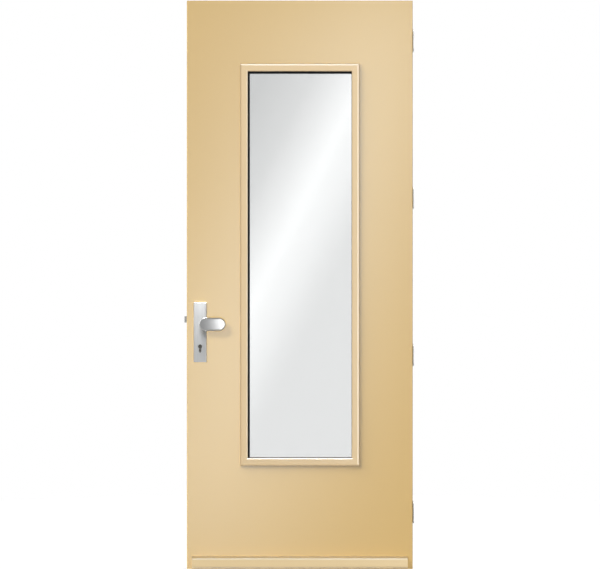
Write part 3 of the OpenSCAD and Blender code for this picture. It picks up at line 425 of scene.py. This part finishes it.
def hinge_steel():
    """Satin steel, brushed up and down."""
    return metal("hinge_steel", srgb(206, 206, 204), 0.3, (1200.0, 1200.0, 10.0)).owner


FINISHES = (leaf_paint, bead_paint, bar_paint, timber, foam, glass, spacer, sealant, tape, packer,
            rail_aluminium, screw_steel, case_steel, bolt_steel, spring_steel, cylinder_nickel,
            plug_brass, plate_aluminium, handle_aluminium, bush_plastic, hinge_steel)


# Pieces of the door

def dress(frame):
    """Gives every node the finish that the record names for it."""
    made = {finish.__name__: finish() for finish in FINISHES}
    for part in frame["record"]["subparts"]:
        mesh = frame["nodes"][part["node"]].data
        mesh.materials.clear()
        mesh.materials.append(made[part["material_slot"]])


def stand_in(frame, node_name, name):
    """A piece on the leaf with a node's own shape, shown in that node's place."""
    node = frame["nodes"][node_name]
    piece = bpy.data.objects.new(name, node.data.copy())
    bpy.context.scene.collection.objects.link(piece)
    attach(piece, "door")
    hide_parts(node_name)
    return piece


def even_knob(frame):
    """The knob, with even shading over the middle of its crowned pad."""
    knob = stand_in(frame, "outer_knob", "knob")
    custom = knob.data.attributes.get("custom_normal")
    if custom:
        knob.data.attributes.remove(custom)
    form = bmesh.new()
    form.from_mesh(knob.data)
    bmesh.ops.remove_doubles(form, verts=form.verts, dist=WELD)
    for face in form.faces:
        face.smooth = True
    form.to_mesh(knob.data)
    form.free()
    knob.data.set_sharp_from_angle(angle=CREASE)
    even = knob.modifiers.new("even_normals", "WEIGHTED_NORMAL")
    even.keep_sharp = True
    even.weight = BIG_FACES
    return knob


def latch_coil(frame):
    """The latch's spring, as a piece with its own copy of the node's mesh. The real spring
    shortens by the latch's travel when the lever is pressed; nothing here shortens this piece.
    """
    coil = stand_in(frame, "latch_spring", "latch_coil")
    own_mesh(coil)
    return coil


# Camera

def door_point(px, py):
    """(X, Z) on the door's outside face that a pixel of the photograph shows."""
    return (px - PHOTO_MID_X) * PIXEL, (IMAGE_H - py) * PIXEL


def make_camera(face_y):
    """A far camera that looks at the door square on, with the photograph's frame."""
    data = bpy.data.cameras.new("camera")
    data.sensor_width = SENSOR
    data.lens = SENSOR * CAMERA_AWAY / (IMAGE_W * PIXEL)
    camera = bpy.data.objects.new("camera", data)
    x, z = door_point(IMAGE_W / 2, IMAGE_H / 2)
    camera.location = (x, face_y - CAMERA_AWAY, z)
    camera.rotation_euler = (math.pi / 2, 0, 0)
    bpy.context.scene.collection.objects.link(camera)
    bpy.context.scene.camera = camera


# Far lamps

def group(name, objects):
    """A collection that a lamp's reach or its shadows are limited to."""
    made = bpy.data.collections.new(name)
    for obj in objects:
        made.objects.link(obj)
    return made


def lamp(name, kind, at, target):
    """A lamp that stands in one place and points at another."""
    obj = bpy.data.objects.new(name, bpy.data.lights.new(name, kind))
    obj.location = at
    obj.rotation_euler = (Vector(target) - obj.location).to_track_quat("-Z", "Y").to_euler()
    bpy.context.scene.collection.objects.link(obj)
    return obj


def sun(name, middle, share_from, reach=None, shadows=None, soft=SOFT):
    """A soft far lamp that gives an upright matt wall its share of LEVEL."""
    share, towards = share_from
    obj = lamp(name, "SUN", middle + FAR * Vector(towards), middle)
    slant = abs(towards[1]) / Vector(towards).length
    obj.data.energy = share * LEVEL * math.pi / slant
    obj.data.angle = soft
    for kind in ("camera", "glossy", "transmission"):
        setattr(obj, "visible_" + kind, False)
    if reach:
        obj.light_linking.receiver_collection = reach
    if shadows:
        obj.light_linking.blocker_collection = shadows


def suns(nodes, middle):
    """The key, the low light that draws the mouldings' shadows on the leaf, fill and back."""
    leaf = group("leaf_face", [nodes["outer_skin"]])
    rest = group("the_rest", [obj for name, obj in nodes.items() if name != "outer_skin"])
    ridges = group("ridges", [obj for name, obj in nodes.items()
                              if name.startswith("outer_bead")])
    sun("key", middle, KEY, soft=KEY_SOFT)
    sun("graze", middle, GRAZE, leaf, ridges)
    sun("counter", middle, COUNTER, leaf, ridges)
    sun("fill", middle, FILL, rest, rest)
    sun("back", middle, BACK)


# Near lamps and the card

def gloss_lamp(name, at, target, width, height, watts, reach):
    """A rectangular lamp that only shows mirrored, in the pieces within its reach."""
    obj = lamp(name, "AREA", at, target)
    obj.data.shape = "RECTANGLE"
    obj.data.size, obj.data.size_y = width, height
    obj.data.energy = watts
    for kind in ("camera", "transmission", "diffuse"):
        setattr(obj, "visible_" + kind, False)
    obj.light_linking.receiver_collection = reach
    return obj


def band(tree, profile, distance, middle_z):
    """Brightness of the diagonal band in a plane that far from the door, mirrored from the soft
    box in the paint, or seen through the glass as a painted reflection.
    """
    grow = 1 + distance / CAMERA_AWAY
    (x0, z0), (x1, z1) = (door_point(*p) for p in BAND_LINE)
    along = Vector((x1 - x0, z1 - z0)).normalized()
    across = Vector((-along.y, along.x))            # towards the lower right
    low, high = profile[0][0], profile[-1][0]
    line = across.x * x0 + across.y * z0 - (1 - 1 / grow) * middle_z * across.y
    dot = tree.add("VectorMath", tree.add("NewGeometry").outputs["Position"],
                   (across.x / grow, 0, across.y / grow))
    dot.operation = "DOT_PRODUCT"
    offset = tree.span(dot.outputs["Value"], low + line, high + line, kind="LINEAR")
    ramp = tree.add("ValToRGB", offset)
    stops = ramp.color_ramp.elements
    while len(stops) < len(profile):
        stops.new(0.5)
    # all the places first, because the ramp keeps its stops in order
    for stop, (away, _) in zip(stops, profile):
        stop.position = (away - low) / (high - low)
    for stop, (_, share) in zip(stops, profile):
        stop.color = (share, share, share, 1)
    return ramp.outputs[0]


def soft_box(face_y, middle_z, reach):
    """The lamp in front of the door whose bright diagonal lies in the leaf's paint."""
    width, height = BOX_SIZE
    box = gloss_lamp("soft_box", (0, BOX_Y, middle_z), (0, face_y, middle_z), width, height,
                     BOX_WATTS, reach)
    tree = Tree(box.data)
    glow = tree.add("Emission", Color=band(tree, PAINT_BAND, face_y - BOX_Y, middle_z),
                    Strength=BOX_PEAK * LAMP_WATTS * width * height)
    tree.show("Light", glow.outputs[0])
    return box


def glass_painted_reflection(face_y, middle_z):
    """A glowing panel behind the door, seen only through the glass, with the same bright diagonal
    drawn on it as a painted reflection.
    """
    bpy.ops.mesh.primitive_plane_add(size=1, location=(0, CARD_Y, middle_z),
                                     rotation=(math.pi / 2, 0, 0))
    painted_reflection_card = bpy.context.object
    painted_reflection_card.name = "painted_reflection_card"
    painted_reflection_card.scale = (*CARD_SIZE, 1)
    for kind in ("camera", "diffuse", "glossy", "shadow", "volume_scatter"):
        setattr(painted_reflection_card, "visible_" + kind, False)
    tree = Tree(bpy.data.materials.new("painted_reflection_card"))
    # painted reflection: the bright diagonal drawn on the glowing panel, seen through the glass
    level = tree.span(band(tree, PAINTED_REFLECTION_BAND, CARD_Y - face_y, middle_z), 0.0, 1.0,
                      CARD_LOW, CARD_HIGH, "LINEAR")
    tree.show("Material", tree.add("Emission", Strength=level).outputs[0])
    painted_reflection_card.data.materials.append(tree.owner)


def edge_strips(nodes, middle):
    """Lamps beyond the door's edges, for the thin bright lines on the mouldings."""
    edges = group("edges", [obj for name, obj in nodes.items()
                            if name.startswith(("outer_bead", "weather_bar"))
                            or "hinge_leaf" in name or name == "hinge_pins"])
    sill = group("sill", [nodes["outer_bead_bottom"]])
    top = 2 * middle
    gloss_lamp("strip_right", (STRIP_AWAY, -STRIP_AWAY, middle.z), middle,
               STRIP_WIDE, STRIP_LONG, STRIP_RIGHT_WATTS, edges)
    gloss_lamp("strip_top", (0, -STRIP_AWAY, top.z + STRIP_AWAY), top,
               STRIP_LONG, STRIP_WIDE, STRIP_TOP_WATTS, edges)
    gloss_lamp("strip_sill", (0, -STRIP_AWAY, middle.z + STRIP_AWAY), middle,
               STRIP_LONG, STRIP_WIDE, STRIP_SILL_WATTS, sill)


def small_lamps(nodes):
    """Near lamps for the slow shading along the lock plate and across the knob."""
    for name, (at, size, watts), node_name in (
            ("plate_lamp", PLATE_LAMP, "outer_plate"),
            ("plate_foot_lamp", PLATE_FOOT_LAMP, "outer_plate"),
            ("knob_lamp", KNOB_LAMP, "outer_knob")):
        shiny = nodes[node_name]
        corner = shiny.matrix_world @ Vector(shiny.bound_box[0])
        gloss_lamp(name, at, corner, size, size, watts, group(name + "_reach", [shiny]))


# Surroundings

def make_world():
    """White to the camera and through glass, a dim even room to matt surfaces."""
    world = bpy.data.worlds.new("studio")
    bpy.context.scene.world = world
    tree = Tree(world)
    room = tree.add("Background", Color=WHITE, Strength=SKY_SHARE * LEVEL)
    # mirrors show white behind the door and grey on the camera's side
    way = tree.add("SeparateXYZ", tree.add("NewGeometry").outputs["Position"])
    side = tree.span(way.outputs["Y"], -SKY_FADE, SKY_FADE, SKY_FRONT, 1.0, "LINEAR")
    bright = tree.calculate("MAXIMUM", side, tree.on_rays("Camera", "Transmission"))
    white = tree.add("Background", Color=WHITE, Strength=bright)
    seen = tree.on_rays("Camera", "Glossy", "Transmission")
    tree.show("World", tree.add("MixShader", seen, room.outputs[0], white.outputs[0]).outputs[0])


def make_floor(low_z):
    """A round floor that looks nearly white, but sends little of its light on to the door."""
    bpy.ops.mesh.primitive_circle_add(vertices=FLOOR_SIDES, radius=FLOOR_R, fill_type="NGON",
                                      location=(0, 0, low_z))
    floor = bpy.context.object
    floor.name = "floor"
    tree = Tree(bpy.data.materials.new("floor"))
    seen = tree.on_rays("Camera", "Glossy", "Transmission")
    grey = tree.span(seen, 0.0, 1.0, FLOOR_BOUNCE, FLOOR_PALE, "LINEAR")
    matt = tree.add("BsdfDiffuse", Color=grey)
    share, strength = FLOOR_GLOW
    glow = tree.add("Emission", Strength=strength)
    mix = tree.add("MixShader", tree.calculate("MULTIPLY", seen, share),
                   matt.outputs[0], glow.outputs[0])
    tree.show("Material", mix.outputs[0])
    floor.data.materials.append(tree.owner)
    floor.visible_glossy = False


def main():
    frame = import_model()
    cad_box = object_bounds()
    skin_low, skin_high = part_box("outer_skin")
    middle = Vector((0, 0, (skin_low[2] + skin_high[2]) / 2))
    face_y = skin_low[1]
    make_camera(face_y)
    dress(frame)
    nodes = dict(frame["nodes"])
    nodes["outer_knob"] = even_knob(frame)
    nodes["latch_spring"] = latch_coil(frame)
    make_world()
    make_floor(cad_box[0][2] - FLOOR_DROP)
    suns(nodes, middle)
    box = soft_box(face_y, middle.z, group("leaf_gloss", [nodes["outer_skin"]]))
    box.light_linking.blocker_collection = group("every_node", list(nodes.values()))
    edge_strips(nodes, middle)
    small_lamps(nodes)
    # painted reflection in the glass, from a glowing panel behind the door
    glass_painted_reflection(face_y, middle.z)
    bpy.context.scene.view_settings.view_transform = "Standard"


main()
